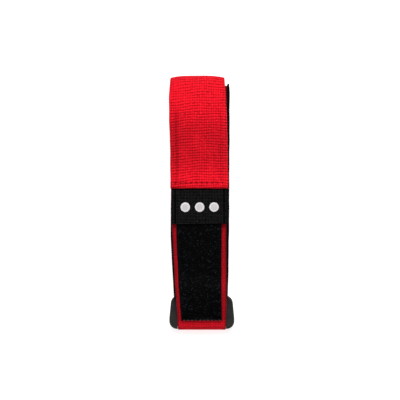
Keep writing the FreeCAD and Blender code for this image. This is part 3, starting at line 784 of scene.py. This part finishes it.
def make_hooks(strip, half):
    """Rows of small hooks under the tape, each a bent thread."""
    stem = np.array([[0.0, 0.0], [0.0, 0.16], [0.03, 0.26], [0.12, 0.31], [0.21, 0.27], [0.24, 0.19]])
    sides, radius = 4, 0.055
    points, faces = [], []
    rows = np.arange(1.0, strip.length - 0.6, 1.05)
    for row, far in enumerate(rows):
        y = np.interp(far, strip.far, strip.line[:, 0])
        middle = float(tail_middle(y))
        for x in np.arange(middle - half + 1.1, middle + half - 0.9, 1.0):
            lean = 1 if row % 2 else -1
            first = len(points)
            for reach, deep in stem:
                for k in range(sides):
                    angle = 2 * math.pi * (k + 0.5) / sides
                    spot = strip.place(np.array(x + radius * math.cos(angle)),
                                       np.array(far + lean * reach + radius * math.sin(angle)),
                                       np.array(strip.thick / 2 + deep))
                    points.append(spot)
            for step in range(len(stem) - 1):
                for k in range(sides):
                    a, b = first + step * sides + k, first + step * sides + (k + 1) % sides
                    faces.append([a, b, b + sides, a + sides])
            last = first + (len(stem) - 1) * sides
            faces.append([last + k for k in range(sides)])
            faces.append([first + k for k in reversed(range(sides))])
    thing = cloth_object("hooks", np.array(points).reshape(-1, 3), faces)
    return dress(thing, "plastic", "black_hooks", "tail")


# ---------------------------------------------------------------- the pull tab
TAB_PLY = 0.42


def make_tab():
    """A woven tape folded over at its lower end, with both plies caught in the hem."""
    top = TAB_HIGH[2] - TAB_PLY / 2
    low = TAB_LOW[2] + TAB_PLY / 2
    turn = (top - low) / 2
    bottom = TAB_LOW[1] + turn + TAB_PLY / 2
    seat = HEM_Y - 0.4
    line = np.vstack([np.array([[seat, top + 0.02]]), arc(bottom, (top + low) / 2, turn, 90, 270),
                      np.array([[seat, low]])])
    line = spaced(line, 0.12)
    left = edge_line((-10, TAB_LOW[0] - 0.15), (9, TAB_LOW[0] - 0.25))
    right = edge_line((-10, TAB_HIGH[0] + 0.3), (9, TAB_HIGH[0] + 0.2))

    def sag(x, y, far):
        upper = np.where(far < line_length(line) / 2, 1, 0)
        middle = (x - (TAB_LOW[0] + TAB_HIGH[0]) / 2) / 12.2
        full = 0.10 * np.cos(np.pi * middle / 2) + 0.05 * ripple(x, y, 3.0, 11.0)
        return -upper * full * (1 - smooth_step(y, 2, 6)) * smooth_step(y, -9.2, -7)

    strip = Strip(line, selvage(left, -1, 0.03, 0.04, 9.0), selvage(right, 1, 0.03, 0.04, 10.0), TAB_PLY,
                  lift=sag, drop=lambda x, y: 0.14 * (x + 1.0) / 12 * (1 - smooth_step(y, -9, 4)))

    def twill(x, far):
        return 0.03 * np.sin(2 * np.pi * (x + far) / TWILL) * np.sin(2 * np.pi * (far - x) / TWILL)
    thing = strip_object("tab_fabric", strip, 0.16, 40, back_relief=twill, back_across=120, edge=0.2)
    spot = vertex_places(thing)
    inset = np.minimum(spot[:, 0] - left(spot[:, 1]), right(spot[:, 1]) - spot[:, 0])
    seam_shade = 0.9 * np.exp(-((inset - 1.7) / 0.35) ** 2)
    # Painted shade also darkens the tab at its rounded edges.
    add_values(thing, "tone", 1 - seam_shade - 0.5 * np.exp(-(inset / 0.5) ** 2))
    dress(thing, "tab", "black_tab", None, "pull_tab", "tab_sewn_end")
    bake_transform(thing)
    return strip


def line_length(line):
    return float(np.hypot(*np.diff(line, axis=0).T).sum())


DOT_CENTRE = 0.78     # how light a dot's middle is, beside its rim


def make_mark(strip):
    """Three plain woven dots, a little raised, with a soft rounded rim."""
    points, faces = [], []
    radius = (MARK_HIGH[1] - MARK_LOW[1]) / 2
    middle_y = (MARK_HIGH[1] + MARK_LOW[1]) / 2
    xs = np.linspace(MARK_LOW[0] + radius, MARK_HIGH[0] - radius, 3)
    tones = []
    rings = [(0.2, 0.13), (0.4, 0.13), (0.6, 0.13), (0.78, 0.125), (0.9, 0.11), (0.97, 0.07), (1.0, -0.03)]
    sides = 48
    for cx in xs:
        first = len(points)
        points.append(tab_top(strip, cx, middle_y, 0.13))
        tones.append(DOT_CENTRE)
        for part, height in rings:
            for k in range(sides):
                angle = 2 * math.pi * k / sides
                ragged = radius * part * (1 + (0.012 * math.sin(9 * angle + cx) if part > 0.85 else 0))
                x, y = cx + ragged * math.cos(angle), middle_y + ragged * math.sin(angle)
                bump = 0.018 * math.sin(x * 2 * math.pi / 0.5) if height > 0.1 else 0
                points.append(tab_top(strip, x, y, height + bump))
                tones.append(DOT_CENTRE if part < 0.7 else 1.0)
        for k in range(sides):
            faces.append([first, first + 1 + k, first + 1 + (k + 1) % sides])
        for ring in range(len(rings) - 1):
            for k in range(sides):
                a, b = first + 1 + ring * sides + k, first + 1 + ring * sides + (k + 1) % sides
                faces.append([a, a + sides, b + sides, b])
        rim = first + 1 + (len(rings) - 1) * sides
        faces.append([rim + k for k in reversed(range(sides))])
    thing = cloth_object("tab_dots", np.array(points), faces)
    add_values(thing, "tone", tones)
    dress(thing, "mark", "white_mark", "tab", "tab_mark")


def tab_top(strip, x, y, height):
    """A point above the tab's upper ply."""
    far = strip.where(y, 0)
    return strip.place(np.array(float(x)), np.array(float(far)), np.array(-strip.thick / 2 - height))


# ---------------------------------------------------------------- stitches
def stitches(name, ends, radius, material, slot, body, *replaced):
    """A stitch for each pair of end points: a plump thread that dives into the cloth at both ends."""
    points, faces = [], []
    steps, sides = 7, 8
    for start, end in ends:
        start, end = Vector(start), Vector(end)
        along = (end - start).normalized()
        side = along.cross(Vector((0, 0, 1)))
        side = side.normalized() if side.length > 1e-4 else Vector((1, 0, 0))
        up = side.cross(along).normalized()
        first = len(points)
        for step in range(steps):
            part = step / (steps - 1)
            swell = radius * (0.35 + 0.65 * math.sin(math.pi * part) ** 0.5)
            centre = start.lerp(end, part) + up * radius * (1.1 * math.sin(math.pi * part) - 0.75)
            for k in range(sides):
                angle = 2 * math.pi * k / sides
                points.append(centre + side * swell * math.cos(angle) + up * swell * 0.8 * math.sin(angle))
        for step in range(steps - 1):
            for k in range(sides):
                a, b = first + step * sides + k, first + step * sides + (k + 1) % sides
                faces.append([a, a + sides, b + sides, b])
        faces.append([first + k for k in range(sides)])
        faces.append([first + (steps - 1) * sides + k for k in reversed(range(sides))])
    thing = cloth_object(name, np.array([list(p) for p in points]), faces)
    return dress(thing, material, slot, body, *replaced)


def seam(strip, spots, height, pitch, length, where):
    """Stitch ends along a polyline of (x, y) spots on a strip; where(y) gives the way along it."""
    spots = np.asarray(spots, float)
    far = np.r_[0, np.cumsum(np.hypot(*np.diff(spots, axis=0).T))]
    ends = []
    for middle in np.arange(pitch / 2, far[-1], pitch):
        pair = []
        for at in (middle - length / 2, middle + length / 2):
            x, y = (float(np.interp(at, far, spots[:, k])) for k in (0, 1))
            pair.append(strip.place(np.array(x), np.array(float(where(y))), np.array(height)))
        ends.append(pair)
    return ends


def on_falling(strip):
    """The way along a strip that goes towards -Y, for a y."""
    return lambda y: np.interp(-y, -strip.line[:, 0], strip.far)


def on_pile(strip):
    """The way along the loop tape, for a y on the front run."""
    keep = strip.far < 100
    return lambda y: np.interp(y, strip.line[keep, 0], strip.far[keep])


def make_stitches(tail, pile, liner):
    where = on_falling(tail)
    hem = [(HEM_START, HEM_Y), (HEM_END, HEM_Y)]
    stitches("hem_thread", seam(tail, hem, -tail.thick / 2, HEM_PITCH, 1.7, where), 0.2, "red_thread",
             "red_thread", "tail", "hem_stitches")
    high, low = HOOK_HIGH[1] - 0.8, HEM_Y + 1.2
    ends = []
    for sign in (-1, 1):
        spots = [(float(tail_middle(y)) + sign * HOOK_HALF, y) for y in np.linspace(high, low, 12)]
        ends += seam(tail, spots, -tail.thick / 2, 2.0, 1.5, where)
    across = [(tail_middle(high) - HOOK_HALF + 1, high), (tail_middle(high) + HOOK_HALF - 1, high)]
    ends += seam(tail, across, -tail.thick / 2, 2.0, 1.5, where)
    stitches("hook_patch_thread", ends, 0.15, "red_thread", "red_thread", "tail", "hook_patch_stitches")

    ends = []
    for edge, sign in ((PILE_LEFT, 1), (PILE_RIGHT, -1)):
        spots = [(float(edge(y)) + sign * 0.75, y) for y in np.linspace(-49.5, 48, 50)]
        ends += seam(pile, spots, pile.thick / 2, 2.3, 1.7, on_pile(pile))
    stitches("loop_patch_thread", ends, 0.17, "black_thread", "black_thread", "strap", "loop_patch_stitches")

    y = PILE_END + 0.35
    spots = [(float(PILE_LEFT(y)) + 0.4, y), (float(PILE_RIGHT(y)) - 0.1, y)]
    ends = seam(pile, spots, pile.thick / 2, 1.75, 1.1, on_pile(pile))
    stitches("ring_seam_thread", ends, 0.16, "grey_thread", "grey_thread", "strap", "ring_seam_stitches")

    ends = []
    for edge, sign in ((LINER_LEFT, 1), (LINER_RIGHT, -1)):
        spots = [(float(edge(y)) + sign * 0.5, y) for y in np.linspace(47.5, -34, 40)]
        # Known fault: this is the liner's lower side. Its upper side, where they belong, is -liner.thick / 2.
        ends += seam(liner, spots, liner.thick / 2, 1.9, 1.2, on_falling(liner))
    stitches("liner_thread", ends, 0.14, "grey_thread", "grey_thread", "strap", "liner_stitches")


# ---------------------------------------------------------------- the ring
def dress_ring():
    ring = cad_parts["ring"]
    for place in ring.material_slots:
        place.material = MATERIALS["plastic"]


# ---------------------------------------------------------------- floor, light and camera
VIEW_MIDDLE = (-0.8, 1.3)      # the point the camera is over
VIEW_WIDTH = 175.2             # what the camera takes in, at the height of the strap's front
VIEW_HEIGHT = 900.0
SENSOR = 36.0
FLOOR_GLOW, WORLD_LIGHT = 0.55, 0.40
KEY_POWER, FILL_POWER = 6.5, 1.5


def area_light(name, place, size, power, target=(0, 0, 0.005)):
    light = bpy.data.lights.new(name, "AREA")
    light.shape, light.size, light.energy = "SQUARE", size, power
    thing = bpy.data.objects.new(name, light)
    thing.location = place
    thing.rotation_euler = (Vector(target) - Vector(place)).to_track_quat("-Z", "Y").to_euler()
    bpy.context.scene.collection.objects.link(thing)


def make_setting():
    mesh = bpy.data.meshes.new("floor")
    mesh.from_pydata([(-3, -3, 0), (3, -3, 0), (3, 3, 0), (-3, 3, 0)], [], [(0, 1, 2, 3)])
    floor = bpy.data.objects.new("floor", mesh)
    bpy.context.scene.collection.objects.link(floor)
    pale = Nodes("pale_floor")
    pale.shader.inputs["Emission Color"].default_value = (1, 1, 1, 1)
    pale.shader.inputs["Emission Strength"].default_value = FLOOR_GLOW
    floor.data.materials.append(pale.finish((0.92, 0.92, 0.92, 1), 0.9, 0.1))

    scene = bpy.context.scene
    scene.world = bpy.data.worlds.new("studio")
    scene.world.use_nodes = True
    background = scene.world.node_tree.nodes["Background"]
    background.inputs["Color"].default_value = (1, 1, 1, 1)
    background.inputs["Strength"].default_value = WORLD_LIGHT
    area_light("key", (0.05, 0.55, 0.75), 0.35, KEY_POWER)
    area_light("fill", (-0.5, -0.4, 0.8), 0.6, FILL_POWER)
    scene.view_settings.view_transform = "Standard"

    camera = bpy.data.cameras.new("camera")
    camera.sensor_width = SENSOR
    camera.lens = SENSOR * (VIEW_HEIGHT - TAIL_HIGH[2]) / VIEW_WIDTH
    camera.clip_start = 0.01
    thing = bpy.data.objects.new("camera", camera)
    thing.location = (VIEW_MIDDLE[0] * MM, VIEW_MIDDLE[1] * MM, VIEW_HEIGHT * MM)
    thing.rotation_euler = (0, 0, 0)
    scene.collection.objects.link(thing)
    scene.camera = thing


make_setting()
make_main_webbing()
tail_strip = make_tail_webbing()
pile_strip = make_loop_patch()
liner_strip = make_liner()
make_hook_patch()
tab_strip = make_tab()
make_mark(tab_strip)
make_stitches(tail_strip, pile_strip, liner_strip)
dress_ring()
